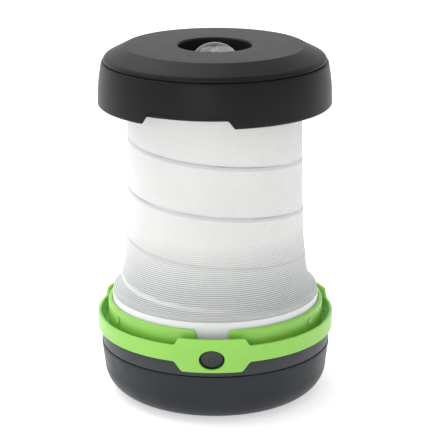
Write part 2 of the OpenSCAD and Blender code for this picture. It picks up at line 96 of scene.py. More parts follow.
# Sizes that no box gives, in millimetres and degrees
CAP_R = 48.15                           # the skirt at its widest, near the rim
SKIRT_WALL = 1.6
TURN = 12.4                             # of cap_turn; at rest the notch stands this far left of the front
LUG_AT = 61                             # azimuth of the collar's lugs, either side
GAP = 8.5                               # half the collar's cut-out at the front
GAP_ROUND = 1.8                         # radius of its corners
TONGUE = 7.6                            # half the tongue of the clamp ring that fills it
COLLAR_FLOOR = LEDGE + 1.35             # upper face of the collar's floor
COLLAR_MID = 44.4                       # middle of the collar's wall
PIVOT = (0, 19.3, 30.3)                 # the handle's axis
POCKET_R, POCKET_IN = 6.7, 41.2         # the pockets in the base for the handle's ears
BEYOND = 60                             # further out and up than any cut has to reach

# The wire of the shade: its rise per turn, its height at the front, and where its turns close up
PITCH = 20.95
FRONT_Z = RIM - 18.1
CLOSE_Z = FRONT_Z - 2 * PITCH
CLOSE_PITCH = 0.8 * PITCH

# The cloth: weft spacing in millimetres, warp threads round it, how clear its holes are outside and
# inside, and the millimetres in one unit of its UV maps' height
THREAD = 0.84
WARPS = 300
HOLE = 0.85
INNER_HOLE = 0.95
UV_UNIT = 100.0

# In metres: points closer than MERGE are one, after a boolean closer than CARVED_MERGE, and edges
# shorter than SLIVER go. COLUMN_STEP is the degrees from column to column of a part that is bent.
MERGE = 0.002 * MM
SLIVER = 0.0005 * MM
CARVED_MERGE = 1e-6
COLUMN_STEP = 1.5


# ---------------------------------------------------------------- meshes

def link(name, me, body, stands_for, materials, sharp=35):
    """Makes the object with its materials, shades it smooth up to an angle, ties it to its body and hides the
    CAD nodes it stands for.
    """
    me.materials.clear()
    for m in materials:
        me.materials.append(m)
    me.shade_smooth()
    me.set_sharp_from_angle(angle=math.radians(sharp))
    ob = bpy.data.objects.new(name, me)
    scene.collection.objects.link(ob)
    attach(ob, body)
    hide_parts(*stands_for)
    return ob


def mesh_of(name, verts, faces):
    """A mesh from points in millimetres, welded, its faces turned outwards."""
    me = bpy.data.meshes.new(name)
    me.from_pydata([(x * MM, y * MM, z * MM) for x, y, z in verts], [], faces)
    bm = bmesh.new()
    bm.from_mesh(me)
    bmesh.ops.remove_doubles(bm, verts=bm.verts, dist=MERGE)
    bmesh.ops.dissolve_degenerate(bm, edges=bm.edges, dist=SLIVER)
    bmesh.ops.recalc_face_normals(bm, faces=bm.faces)
    bm.to_mesh(me)
    bm.free()
    return me


def rounded(points, steps=5):
    """A closed outline from (a, b, radius) corners, each corner turned into an arc of its radius."""
    out = []
    n = len(points)
    for i, (x, y, rad) in enumerate(points):
        p = Vector((x, y))
        if not rad:
            out.append((x, y))
            continue
        u = Vector(points[i - 1][:2]) - p
        v = Vector(points[(i + 1) % n][:2]) - p
        angle = u.angle(v)
        reach = min(rad / math.tan(angle / 2), u.length * 0.49, v.length * 0.49)
        rad = reach * math.tan(angle / 2)
        u.normalize()
        v.normalize()
        centre = p + (u + v).normalized() * (rad / math.sin(angle / 2))
        a, b = p + u * reach - centre, p + v * reach - centre
        whole = a.angle(b)
        turn = math.copysign(whole, a.x * b.y - a.y * b.x)
        for k in range(steps + 1):
            t = turn * k / steps
            c, s = math.cos(t), math.sin(t)
            out.append((centre.x + a.x * c - a.y * s, centre.y + a.x * s + a.y * c))
    return out


def azimuths(count=240):
    return [360 * i / count for i in range(count)]


def from_front(a):
    """Degrees between an azimuth and the front, either way."""
    return abs((a + 180) % 360 - 180)


def spun(name, profile_at, columns):
    """A closed ring whose section, a list of (radius, height), may change with the azimuth.
    Azimuth 0 is the front and grows towards +X."""
    sections = [profile_at(a) for a in columns]
    n, m = len(columns), len(sections[0])
    verts, faces = [], []
    for angle, section in zip(columns, sections):
        s, c = math.sin(math.radians(angle)), math.cos(math.radians(angle))
        verts += [(r * s, -r * c, z) for r, z in section]
    for i in range(n):
        for k in range(m):
            a, b = i * m + k, i * m + (k + 1) % m
            c, d = (i + 1) % n * m + (k + 1) % m, (i + 1) % n * m + k
            faces.append((a, b, c, d))
    return mesh_of(name, verts, faces)


def lathe(name, profile, count=240):
    """A closed ring of one section all round."""
    return spun(name, lambda a: profile, azimuths(count))


def sector(name, profile, a0, a1, step=COLUMN_STEP):
    """Part of a ring from azimuth a0 to a1, closed at both ends."""
    count = max(2, round((a1 - a0) / step))
    verts, faces = [], []
    m = len(profile)
    for i in range(count + 1):
        a = math.radians(a0 + (a1 - a0) * i / count)
        verts += [(r * math.sin(a), -r * math.cos(a), z) for r, z in profile]
    for i in range(count):
        for k in range(m):
            a, b = i * m + k, i * m + (k + 1) % m
            faces.append((a, b, b + m, a + m))
    faces.append(tuple(range(m)))
    faces.append(tuple(count * m + k for k in reversed(range(m))))
    return mesh_of(name, verts, faces)


def plate(outline, holes, thick, bevel):
    """A bmesh of a flat plate with rounded edges: outline and holes in x and z, thickness along y, in
    millimetres."""
    cu = bpy.data.curves.new("plate", "CURVE")
    cu.dimensions = "2D"
    cu.fill_mode = "BOTH"
    for loop in (outline, *holes):
        sp = cu.splines.new("POLY")
        sp.points.add(len(loop) - 1)
        for p, (x, y) in zip(sp.points, loop):
            p.co = (x * MM, y * MM, 0, 1)
        sp.use_cyclic_u = True
    cu.extrude = (thick / 2 - bevel) * MM
    cu.bevel_depth = bevel * MM
    cu.bevel_resolution = 3
    cu.offset = -bevel * MM
    ob = bpy.data.objects.new("plate", cu)
    scene.collection.objects.link(ob)
    dg = bpy.context.evaluated_depsgraph_get()
    me = bpy.data.meshes.new_from_object(ob.evaluated_get(dg))
    bpy.data.objects.remove(ob)
    bpy.data.curves.remove(cu)
    bm = bmesh.new()
    bm.from_mesh(me)
    bpy.data.meshes.remove(me)
    bmesh.ops.remove_doubles(bm, verts=bm.verts, dist=MERGE)
    for v in bm.verts:
        v.co = Vector((v.co.x, v.co.z, v.co.y))
    bmesh.ops.reverse_faces(bm, faces=bm.faces)
    return bm


def bent(name, outline, holes, r_mid, thick, bevel, at=0.0):
    """A plate wrapped round the axis at radius r_mid, its middle at azimuth at. x runs along the arc."""
    bm = plate(outline, holes, thick, bevel)
    xs = [x for x, _ in outline]
    pitch = math.radians(COLUMN_STEP) * r_mid
    x = math.ceil(min(xs) / pitch) * pitch
    while x < max(xs):
        geom = bm.verts[:] + bm.edges[:] + bm.faces[:]
        bmesh.ops.bisect_plane(bm, geom=geom, dist=SLIVER, plane_co=(x * MM, 0, 0), plane_no=(1, 0, 0))
        x += pitch
    for v in bm.verts:
        a = v.co.x / (r_mid * MM) + math.radians(at)
        r = r_mid * MM - v.co.y
        v.co = Vector((r * math.sin(a), -r * math.cos(a), v.co.z))
    bmesh.ops.recalc_face_normals(bm, faces=bm.faces)
    me = bpy.data.meshes.new(name)
    bm.to_mesh(me)
    bm.free()
    return me


def arc_x(x, r):
    """Distance along the arc of radius r of a point that stands x to the side."""
    return r * math.asin(x / r)


def drum(name, r, z0, z1, at, axis="Z", bevel=0.0, count=48):
    """A cylinder, its rims bevelled if wanted, from z0 to z1 along its axis and standing at a point."""
    b = bevel
    if b:
        profile = [(0, z0), (r - b, z0), (r, z0 + b), (r, z1 - b), (r - b, z1), (0, z1)]
    else:
        profile = [(0, z0), (r, z0), (r, z1), (0, z1)]
    me = lathe(name, profile, count)
    if axis == "X":
        me.transform(Matrix.Rotation(math.radians(90), 4, "Y"))
    if axis == "Y":
        me.transform(Matrix.Rotation(math.radians(-90), 4, "X"))
    me.transform(Matrix.Translation(Vector(at) * MM))
    return me


def side_drum(name, r, x0, x1, side, bevel=0.0, count=96):
    """A cylinder along X through the handle's pivot, on one side (+1 right, -1 left)."""
    ends = (x0, x1) if side > 0 else (-x1, -x0)
    return drum(name, r, *ends, PIVOT, "X", bevel, count)


def block(name, lo, hi):
    """An upright box between two corners."""
    bm = bmesh.new()
    bmesh.ops.create_cube(bm, size=1)
    lo, hi = Vector(lo) * MM, Vector(hi) * MM
    for v in bm.verts:
        v.co = Vector([(lo[i] + hi[i]) / 2 + v.co[i] * (hi[i] - lo[i]) for i in range(3)])
    me = bpy.data.meshes.new(name)
    bm.to_mesh(me)
    bm.free()
    return me


def joined(name, *meshes):
    """One mesh with the faces of all, in their order."""
    bm = bmesh.new()
    for me in meshes:
        bm.from_mesh(me)
    out = bpy.data.meshes.new(name)
    bm.to_mesh(out)
    bm.free()
    return out


def carved(me, tools):
    """me after its booleans: tools lists ("UNION", "DIFFERENCE" or "INTERSECT", mesh) in their order."""
    ob = bpy.data.objects.new("work", me)
    scene.collection.objects.link(ob)
    cutters = []
    for how, tool in tools:
        c = bpy.data.objects.new("tool", tool)
        scene.collection.objects.link(c)
        cutters.append(c)
        mod = ob.modifiers.new("b", "BOOLEAN")
        mod.operation = how
        mod.object = c
        mod.solver = "EXACT"
    dg = bpy.context.evaluated_depsgraph_get()
    out = bpy.data.meshes.new_from_object(ob.evaluated_get(dg))
    for o in (ob, *cutters):
        bpy.data.objects.remove(o)
    bm = bmesh.new()
    bm.from_mesh(out)
    bmesh.ops.remove_doubles(bm, verts=bm.verts[:], dist=CARVED_MERGE)
    bmesh.ops.dissolve_degenerate(bm, edges=bm.edges[:], dist=CARVED_MERGE)
    bm.to_mesh(out)
    bm.free()
    return out


# ---------------------------------------------------------------- materials

def material(name):
    m = bpy.data.materials.new(name)
    m.use_nodes = True
    nt = m.node_tree
    return m, nt, nt.nodes["Principled BSDF"]


def coords(nt):
    """Object coordinates, in metres."""
    return nt.nodes.new("ShaderNodeTexCoord").outputs["Object"]


def feed(nt, socket, value):
    """Links an output to the socket, or sets the socket to a number or to an RGB colour."""
    if isinstance(value, (int, float)):
        socket.default_value = value
    elif isinstance(value, tuple):
        socket.default_value = (*value, 1)
    else:
        nt.links.new(value, socket)


def math_node(nt, op, *values):
    n = nt.nodes.new("ShaderNodeMath")
    n.operation = op
    for socket, v in zip(n.inputs, values):
        feed(nt, socket, v)
    return n.outputs[0]


def noise(nt, source, scale, detail=3.0, rough=0.5):
    n = nt.nodes.new("ShaderNodeTexNoise")
    n.inputs["Scale"].default_value = scale
    n.inputs["Detail"].default_value = detail
    n.inputs["Roughness"].default_value = rough
    nt.links.new(source, n.inputs["Vector"])
    return n.outputs["Fac"]


def spread(nt, value, lo, hi, from_lo=0.3, from_hi=0.7):
    """The value's range from_lo to from_hi stretched to lo to hi, and held at its ends."""
    n = nt.nodes.new("ShaderNodeMapRange")
    n.inputs["From Min"].default_value = from_lo
    n.inputs["From Max"].default_value = from_hi
    n.inputs["To Min"].default_value = lo
    n.inputs["To Max"].default_value = hi
    nt.links.new(value, n.inputs["Value"])
    return n.outputs["Result"]


def blend_colours(nt, fac, a, b):
    n = nt.nodes.new("ShaderNodeMix")
    n.data_type = "RGBA"
    for socket, v in ((n.inputs[0], fac), (n.inputs[6], a), (n.inputs[7], b)):
        feed(nt, socket, v)
    return n.outputs[2]


def bump(nt, height, distance, strength=1.0):
    n = nt.nodes.new("ShaderNodeBump")
    n.inputs["Strength"].default_value = strength
    n.inputs["Distance"].default_value = distance
    nt.links.new(height, n.inputs["Height"])
    return n.outputs["Normal"]


def plastic(name, colour, rough, grain=0.0, grain_scale=2200.0, shade=0.08, rough_var=0.06, specular=0.5,
            subsurface=0.0, radius=(0.004, 0.004, 0.002)):
    """Moulded plastic: a little cloudiness, uneven gloss and a fine spark-eroded grain. shade is the share
    that the colour varies by, rough_var what the roughness does, grain the bump's height in metres."""
    m, nt, p = material(name)
    obj = coords(nt)
    cloud = noise(nt, obj, 38.0, 4.0)
    darker = tuple(c * (1 - shade) for c in colour)
    lighter = tuple(min(1, c * (1 + shade)) for c in colour)
    colour_out = blend_colours(nt, spread(nt, cloud, 0, 1), darker, lighter)
    nt.links.new(colour_out, p.inputs["Base Color"])
    patch = noise(nt, obj, 120.0, 5.0, 0.6)
    nt.links.new(spread(nt, patch, rough - rough_var, rough + rough_var), p.inputs["Roughness"])
    p.inputs["Specular IOR Level"].default_value = specular
    if grain:
        fine = noise(nt, obj, grain_scale, 2.0, 0.7)
        nt.links.new(bump(nt, fine, grain), p.inputs["Normal"])
    if subsurface:
        p.inputs["Subsurface Weight"].default_value = subsurface
        p.inputs["Subsurface Radius"].default_value = radius
        p.inputs["Subsurface Scale"].default_value = 1.0
    return m


def metal(name, colour, rough, brushed=0.0):
    """Bare metal with patchy gloss, and a fine bump of the height brushed, in metres."""
    m, nt, p = material(name)
    obj = coords(nt)
    p.inputs["Metallic"].default_value = 1.0
    patch = noise(nt, obj, 300.0, 3.0)
    nt.links.new(spread(nt, patch, rough - 0.05, rough + 0.08), p.inputs["Roughness"])
    nt.links.new(blend_colours(nt, spread(nt, patch, 0, 1), tuple(c * 0.88 for c in colour), colour),
                 p.inputs["Base Color"])
    if brushed:
        nt.links.new(bump(nt, noise(nt, obj, 1600.0, 2.0), brushed), p.inputs["Normal"])
    return m


def glass(name):
    """Clear plastic of the lens, tinted so that the solid dome stays as dark as the real one."""
    m, nt, p = material(name)
    p.inputs["Base Color"].default_value = (0.10, 0.104, 0.112, 1)
    p.inputs["Transmission Weight"].default_value = 1.0
    p.inputs["IOR"].default_value = 1.49
    obj = coords(nt)
    nt.links.new(spread(nt, noise(nt, obj, 260.0, 3.0), 0.02, 0.07), p.inputs["Roughness"])
    return m


def cell_jacket(name):
    """The plain metallic film round a battery cell."""
    m, nt, p = material(name)
    p.inputs["Metallic"].default_value = 0.6
    obj = coords(nt)
    nt.links.new(spread(nt, noise(nt, obj, 150.0, 2.0), 0.3, 0.42), p.inputs["Roughness"])
    n = noise(nt, obj, 60.0, 2.0)
    nt.links.new(blend_colours(nt, spread(nt, n, 0, 1), (0.36, 0.38, 0.40), (0.46, 0.48, 0.50)),
                 p.inputs["Base Color"])
    return m


def cloth_axes(nt, layer="cloth"):
    """Turns round the shade, and millimetres up it at rest: of height, or along the cloth with "weave"."""
    uv = nt.nodes.new("ShaderNodeUVMap")
    uv.uv_map = layer
    sep = nt.nodes.new("ShaderNodeSeparateXYZ")
    nt.links.new(uv.outputs[0], sep.inputs[0])
    return sep.outputs[0], math_node(nt, "MULTIPLY", sep.outputs[1], UV_UNIT)


def wire_offset(nt, turns, height):
    """Height above the nearest turn of the wire, in millimetres."""
    upper = math_node(nt, "SUBTRACT", math_node(nt, "MAXIMUM", height, CLOSE_Z), FRONT_Z)
    lower = math_node(nt, "MINIMUM", math_node(nt, "SUBTRACT", height, CLOSE_Z), 0.0)
    phase = math_node(nt, "ADD", math_node(nt, "DIVIDE", upper, PITCH),
                      math_node(nt, "DIVIDE", lower, CLOSE_PITCH))
    phase = math_node(nt, "ADD", phase, turns)
    return math_node(nt, "MULTIPLY", math_node(nt, "SUBTRACT", phase, math_node(nt, "ROUND", phase)), PITCH)


def near_wire(nt, offset, shift, full, end):
    """1 where the offset from the wire, plus shift, is within full millimetres, and 0 from end on."""
    if shift:
        offset = math_node(nt, "ADD", offset, shift)
    return spread(nt, math_node(nt, "ABSOLUTE", offset), 1.0, 0.0, full, end)


def open_weave(nt, height):
    """1 in the open weave near the foot, falling to 0 further up. It sets the holes there and, on the
    outside, the painted shade seen through them.
    """
    return spread(nt, height, 1.0, 0.0, 52.0, 73.0)


def times(nt, *values):
    """The product of all the values."""
    out = values[0]
    for v in values[1:]:
        out = math_node(nt, "MULTIPLY", out, v)
    return out


def threads(nt):
    """Weft and warp waves, and how far a point lies in a hole between them. The weft runs round the shade."""
    turns, along = cloth_axes(nt, "weave")
    weft = math_node(nt, "SINE", math_node(nt, "MULTIPLY", along, TAU / THREAD))
    warp = math_node(nt, "SINE", math_node(nt, "MULTIPLY", turns, TAU * WARPS))
    hole = times(nt, spread(nt, weft, 0.0, 1.0, -0.3, 0.8), spread(nt, warp, 0.45, 1.0, -0.6, 0.4))
    return weft, warp, hole


def cloth_material(name):
    """Fine mesh cloth with the wire's sleeve sewn round it; the sleeve's grey is partly the wire seen through
    it and partly its painted shadow. Near the foot it is more open, and painted darker and greener there as
    painted shade of the dim inside seen through the holes.
    """
    m, nt, p = material(name)
    turns, height = cloth_axes(nt)
    weft, warp, between_threads = threads(nt)
    weave = math_node(nt, "ADD", times(nt, weft, 0.7), times(nt, warp, 0.3))
    off = wire_offset(nt, turns, height)
    sleeve = near_wire(nt, off, 0.3, 0.4, 1.15)
    stitch = near_wire(nt, off, -0.6, 0.08, 0.42)
    backing = near_wire(nt, off, 0, 0.8, 1.3)
    uneven = spread(nt, noise(nt, coords(nt), 45.0, 4.0), 0.25, 1.0, 0.36, 0.58)
    open_and_shaded = open_weave(nt, height)
    upper_part = spread(nt, height, 0.0, 1.0, 52.0, 80.0)
    stitched_part = spread(nt, height, 0.3, 1.0, 50.0, 84.0)
    near_foot = times(nt, spread(nt, height, 0.0, 0.9, 45.4, 48.0), spread(nt, height, 1.0, 0.0, 55.0, 60.0))
    # plain: the cloth away from the sleeve near the foot, where the holes and the painted shade of the open
    # weave show
    plain = math_node(nt, "SUBTRACT", 1.0, times(nt, backing, near_foot))

    cloud = noise(nt, coords(nt), 30.0, 3.0)
    base = blend_colours(nt, spread(nt, cloud, 0, 1), (0.69, 0.69, 0.68), (0.73, 0.73, 0.72))
    for share, colour in (
            (times(nt, between_threads, 0.06), (0.45, 0.45, 0.45)),
            # the sleeve's grey band: partly the wire seen through the cloth, partly painted shadow of the
            # wire, on the upper turns
            (times(nt, sleeve, upper_part, 0.45), (0.36, 0.37, 0.39)),
            (times(nt, stitch, uneven, stitched_part, 0.75), (0.20, 0.21, 0.23)),
            # painted shade: near the foot, away from the sleeve, the cloth is painted darker and greener for
            # the dim inside seen through the open weave, darkest between the threads
            (times(nt, open_and_shaded, plain, 0.34), (0.50, 0.55, 0.52)),
            (times(nt, open_and_shaded, plain, between_threads, 0.34), (0.22, 0.27, 0.29))):
        base = blend_colours(nt, share, base, colour)
    nt.links.new(base, p.inputs["Base Color"])
    p.inputs["Roughness"].default_value = 0.85
    p.inputs["Specular IOR Level"].default_value = 0.25
    p.inputs["Sheen Weight"].default_value = 0.9
    p.inputs["Sheen Roughness"].default_value = 0.5
    nt.links.new(bump(nt, weave, 0.00005, 0.8), p.inputs["Normal"])
    # the holes between the threads show the base inside
    hole = times(nt, between_threads, open_and_shaded, plain, HOLE)
    nt.links.new(math_node(nt, "SUBTRACT", 1.0, hole), p.inputs["Alpha"])
    return m


def cloth_inside(name):
    """The back of the cloth, with the same holes. It is the same fabric as outside, painted darker as painted
    shade inside the lantern.
    """
    m, nt, p = material(name)
    cloud = noise(nt, coords(nt), 30.0, 3.0)
    # painted shade: the outside's fabric darkened for the dim inside of the lantern
    nt.links.new(blend_colours(nt, cloud, (0.50, 0.51, 0.52), (0.56, 0.57, 0.58)), p.inputs["Base Color"])
    p.inputs["Roughness"].default_value = 0.9
    nt.links.new(bump(nt, noise(nt, coords(nt), 900.0, 2.0), 0.00005), p.inputs["Normal"])
    _, height = cloth_axes(nt)
    hole = times(nt, threads(nt)[2], open_weave(nt, height), INNER_HOLE)
    nt.links.new(math_node(nt, "SUBTRACT", 1.0, hole), p.inputs["Alpha"])
    return m


# The finishes, in linear colour. The cap, the housing and the cup differ a little in the photo.
ERODED = dict(grain=0.00002, grain_scale=2600)
CHARCOAL = plastic("charcoal_plastic", (0.022, 0.025, 0.030), 0.42, specular=0.20, **ERODED)
HOUSING = plastic("housing_plastic", (0.031, 0.034, 0.038), 0.40, specular=0.30, **ERODED)
CAP_BLACK = plastic("cap_plastic", (0.011, 0.011, 0.0115), 0.40, specular=0.13, rough_var=0.02, **ERODED)
GREEN = plastic("green_plastic", (0.27, 0.60, 0.085), 0.36, grain=0.000008, grain_scale=1500, shade=0.03,
                subsurface=0.25, radius=(0.003, 0.006, 0.002))
FROSTED = plastic("frosted_plastic", (0.84, 0.84, 0.85), 0.34, grain=0.000006, shade=0.02,
                  subsurface=0.3, radius=(0.006, 0.006, 0.006))
WHITE = plastic("white_plastic", (0.80, 0.80, 0.78), 0.45, grain=0.00001, shade=0.03)
BLACK = plastic("black_plastic", (0.02, 0.02, 0.022), 0.5, grain=0.00001)
BUTTON_RUBBER = plastic("button_rubber", (0.020, 0.026, 0.026), 0.55, grain=0.00001, grain_scale=1800)
LEAD = plastic("lead_insulation", (0.72, 0.72, 0.70), 0.4, shade=0.03)
BOARD_WHITE = plastic("board_white", (0.78, 0.78, 0.74), 0.3, shade=0.04)
BOARD_GREEN = plastic("board_green", (0.02, 0.16, 0.06), 0.3, shade=0.12)
LED = plastic("led_package", (0.80, 0.66, 0.22), 0.3, shade=0.1, subsurface=0.2)
STEEL = metal("spring_steel", (0.60, 0.60, 0.61), 0.3, 0.000005)
ZINC = metal("zinc_steel", (0.55, 0.55, 0.55), 0.38, 0.000004)
ALUMINIUM = metal("board_metal", (0.78, 0.78, 0.79), 0.35, 0.000004)
MIRROR = metal("reflector_metal", (0.13, 0.13, 0.14), 0.3)
LENS = glass("clear_lens")
JACKET = cell_jacket("cell_jacket")
CLOTH = cloth_material("shade_fabric")
CLOTH_IN_SHADED = cloth_inside("shade_fabric_inside")

BY_SLOT = {
    "charcoal_plastic": CHARCOAL, "green_plastic": GREEN, "frosted_plastic": FROSTED, "white_plastic": WHITE,
    "shade_fabric": CLOTH, "spring_steel": STEEL, "zinc_steel": ZINC, "lead_insulation": LEAD,
    "clear_lens": LENS, "reflector_metal": MIRROR, "black_plastic": BLACK, "led_package": LED,
    "board_white": BOARD_WHITE, "board_green": BOARD_GREEN, "board_metal": ALUMINIUM,
    "button_rubber": BUTTON_RUBBER, "cell_jacket": JACKET,
}
for part in frame["record"]["subparts"]:
    ob = frame["nodes"][part["node"]]
    ob.data.materials.clear()
    ob.data.materials.append(BY_SLOT[part["material_slot"]])

# ---------------------------------------------------------------- cap

SKIRT_CURVE = 80
SKIRT_TOP = SEAM - 0.17
SHELF_LOW, SHELF_HIGH = 135.6, 136.8
# The skirt's notch, and the shallow step round it: (distance to the side, height over the rim)
NOTCH = [(16.9, 3.1), (19.1, 0.0)]
STEP = [(14.3, 5.4), (16.5, 3.45), (16.9, 3.1), (19.1, 0.0)]
STEP_DEPTH = 0.75


def skirt_r(z):
    """Outer radius of the skirt: upright just above the rim, then leaning in slowly."""
    return CAP_R - SKIRT_CURVE + math.sqrt(SKIRT_CURVE ** 2 - (z - RIM - 1) ** 2)


def between(x, points):
    """Straight lines through (x, y) points."""
    if x <= points[0][0]:
        return points[0][1]
    for (x0, y0), (x1, y1) in zip(points, points[1:]):
        if x <= x1:
            return y0 + (y1 - y0) * (x - x0) / (x1 - x0)
    return points[-1][1]


def skirt_section(a):
    """The skirt's section: rounded rim, step, leaning outer wall, seam, inner shelf and inner wall."""
    x = CAP_R * math.sin(math.radians(min(from_front(a + TURN), 90)))
    lift = between(x, NOTCH)
    step = between(x, STEP)
    edge = RIM + lift
    room = step - lift
    deep = STEP_DEPTH * min(1, max(0, room) / 0.3)
    out = []
    for k in range(7):
        t = math.radians(90 * k / 6)
        out.append((CAP_R - deep - 1 + math.sin(t), edge + 1 - math.cos(t)))
    step_low = edge + 1.15
    step_high = RIM + max(step, lift + 1.25)
    if room > 0.05:
        step_low = edge + min(1.15, room * 0.6)
        out = [(r, edge + (z - RIM - lift) * min(1, room * 0.55)) for r, z in out]
    out.append((skirt_r(step_low) - deep, step_low))
    out.append((skirt_r(step_high) - deep, step_high))
    out.append((skirt_r(step_high + 0.12), step_high + 0.12))
    wall_low, rows = RIM + 7.2, 12
    for k in range(rows):
        z = wall_low + (SKIRT_TOP - 0.4 - wall_low) * k / (rows - 1)
        out.append((skirt_r(z), z))
    rim_r = skirt_r(SKIRT_TOP)
    out += [(rim_r - 0.04, SKIRT_TOP - 0.15), (rim_r - 0.15, SKIRT_TOP - 0.04), (rim_r - 0.35, SKIRT_TOP)]
    out += [(45.9, SKIRT_TOP), (45.7, SEAM - 0.1), (44.75, SEAM - 0.1), (44.75, SHELF_HIGH)]
    out += [(38.9, SHELF_HIGH), (38.6, SHELF_HIGH - 0.3), (38.6, SHELF_LOW + 0.3), (38.9, SHELF_LOW)]
    inner = skirt_r(RIM + 12.2) - SKIRT_WALL
    foot = CAP_R - SKIRT_WALL
    out += [(inner - 0.5, SHELF_LOW), (inner, SHELF_LOW - 0.5), (skirt_r(RIM + 8) - SKIRT_WALL, RIM + 8)]
    out += [(foot, RIM + 6.6), (foot - 0.15, RIM + 6.2), (foot - 0.15, edge + 0.35),
            (foot if deep < 0.1 else foot - 0.1, edge + 0.08), (foot + 0.2, edge)]
    return out


columns = set(azimuths())
for x, _ in STEP:
    for side in (-1, 1):
        for more in (-0.12, 0.0, 0.12):
            columns.add((side * math.degrees(math.asin(x / CAP_R)) + more - TURN) % 360)
skirt = spun("cap_skirt_shell", skirt_section, sorted(columns))
hook = rounded([(CAP_R - 2.5, RIM + 0.5, 0.3), (CAP_R - 1.2, RIM + 0.4, 0), (CAP_R - 1.2, RIM + 2.2, 0),
                (CAP_R - 2.5, RIM + 1.7, 0.3)])
hooks = [sector("hook", hook, s * LUG_AT - TURN - 3.2, s * LUG_AT - TURN + 3.2) for s in (-1, 1)]
link("skirt_shell", joined("skirt_shell", skirt, *hooks), "cap", ["cap_skirt"],
     [CAP_BLACK])

top_profile = rounded([
    (44.6, SEAM, 0.3), (45.45, SEAM + 0.02, 0.2), (45.76, SEAM + 0.4, 0.35), (45.55, SEAM + 1.2, 1.2),
    (44.75, SEAM + 2.15, 1.6), (36.9, TOP, 1.3), (15.65, TOP, 0), (15.1, TOP - 0.55, 0.35),
    (14.9, 141.2, 0.5), (11.9, 141.2, 0.25), (11.8, 139.7, 0), (16.7, 139.7, 0), (16.7, TOP - 2, 0),
    (36.2, TOP - 2, 0), (40.4, SEAM + 0.7, 0), (40.6, SEAM, 0)], 6)
link("cap_cover", lathe("cap_cover", top_profile), "cap", ["cap_top"], [CAP_BLACK], 30)

LENS_R, LENS_SIDE, LENS_RIM, LENS_LOW = 12.1, 11.6, 12.9, 138.0
LENS_MID = high("torch_lens").z - LENS_R
dome = [(LENS_R * math.sin(math.radians(t)), LENS_MID + LENS_R * math.cos(math.radians(t)))
        for t in [1.2 * k for k in range(1, 57)]]
lens_profile = [(0.02, LENS_MID + LENS_R)] + [p for p in dome if p[0] <= LENS_SIDE]
lens_profile += [(LENS_SIDE, 139.35), (12.8, 139.25), (LENS_RIM, 139.1), (LENS_RIM, LENS_LOW + 0.1),
                 (12.75, LENS_LOW), (0.25, LENS_LOW)]
link("lens_dome", lathe("lens_dome", lens_profile, 160), "cap", ["torch_lens"], [LENS])

# ---------------------------------------------------------------- shade

SHADE_R = 36.1
FLARE_Z = 45.0                          # the flare ends here, in the clamp ring
HEAD_Z = 131                            # the cloth is flat against the head ring from here up


def shade_r(z):
    """Radius of the shade: straight for most of its height, with a wide and a narrow flare at the foot."""
    return SHADE_R + 3.7 * math.exp((FLARE_Z - z) / 20) + 3.3 * math.exp((FLARE_Z - z) / 2.6)


def ramp(x, over):
    """0 up to x = 0, rising to 1 at x = over."""
    return min(1, max(0, x / over))


def turns_at(z):
    """Turns of the wire from its front point FRONT_Z up to height z."""
    return (z - FRONT_Z) / PITCH if z > CLOSE_Z else (z - CLOSE_Z) / CLOSE_PITCH - 2


def cloth_point(turns, z, inside):
    """Radius of the cloth: tight between the turns of the wire, proud over it."""
    base = shade_r(max(z, FLARE_Z))
    phase = turns_at(z) + turns
    d = (phase - round(phase)) * PITCH
    pull = 0.12 * math.sin(math.pi * phase) ** 2 * (ramp(z - 46, 6) * ramp(HEAD_Z - z, 6))
    ridge = 0.16 * math.exp(-(d / 0.95) ** 4) * ramp(z - 44.5, 3) * ramp(HEAD_Z - z, 3)
    return base - 0.1 - pull + ridge - (0.35 if inside else 0)


def cloth_mesh():
    """The closed tube of cloth, outside and inside, with its two UV maps: turns round the shade, and
    height ("cloth") or length along the cloth ("weave") in UV_UNIT millimetres."""
    around, rise = 264, 165
    levels = [CLOTH_LOW + (CLOTH_HIGH - CLOTH_LOW) * k / rise for k in range(rise + 1)]
    verts, faces, uvs, slots = [], [], [], []
    for inside in (False, True):
        for z in levels:
            for i in range(around):
                a = TAU * i / around
                r = cloth_point(i / around, z, inside)
                verts.append((r * math.sin(a), -r * math.cos(a), z))
    inner = len(levels) * around

    def quad(corners, corner_uvs, slot):
        faces.append(corners)
        uvs.extend(corner_uvs)
        slots.append(slot)
    for i in range(around):
        j = (i + 1) % around
        u0, u1 = i / around, (i + 1) / around
        for k in range(rise):
            z0, z1 = levels[k] / UV_UNIT, levels[k + 1] / UV_UNIT
            a, b = k * around + i, k * around + j
            c, d = (k + 1) * around + j, (k + 1) * around + i
            quad((a, b, c, d), ((u0, z0), (u1, z0), (u1, z1), (u0, z1)), 0)
            quad((inner + b, inner + a, inner + d, inner + c), ((u1, z0), (u0, z0), (u0, z1), (u1, z1)), 1)
        z0, z1 = levels[0] / UV_UNIT, levels[-1] / UV_UNIT
        quad((j, i, inner + i, inner + j), ((u1, z0), (u0, z0), (u0, z0), (u1, z0)), 1)
        t = rise * around
        quad((t + i, t + j, inner + t + j, inner + t + i), ((u0, z1), (u1, z1), (u1, z1), (u0, z1)), 1)
    me = bpy.data.meshes.new("cloth_tube")
    me.from_pydata([(x * MM, y * MM, z * MM) for x, y, z in verts], [], faces)
    along = [0.0]
    for z0, z1 in zip(levels, levels[1:]):
        along.append(along[-1] + math.hypot(z1 - z0, shade_r(z1) - shade_r(z0)))

    def level(v):
        return round((v * UV_UNIT - CLOTH_LOW) / (CLOTH_HIGH - CLOTH_LOW) * rise)
    woven = [(u, along[level(v)] / UV_UNIT) for u, v in uvs]
    for layer, pairs in (("cloth", uvs), ("weave", woven)):
        me.uv_layers.new(name=layer).data.foreach_set("uv", [c for pair in pairs for c in pair])
    me.polygons.foreach_set("material_index", slots)
    me.update()
    return me


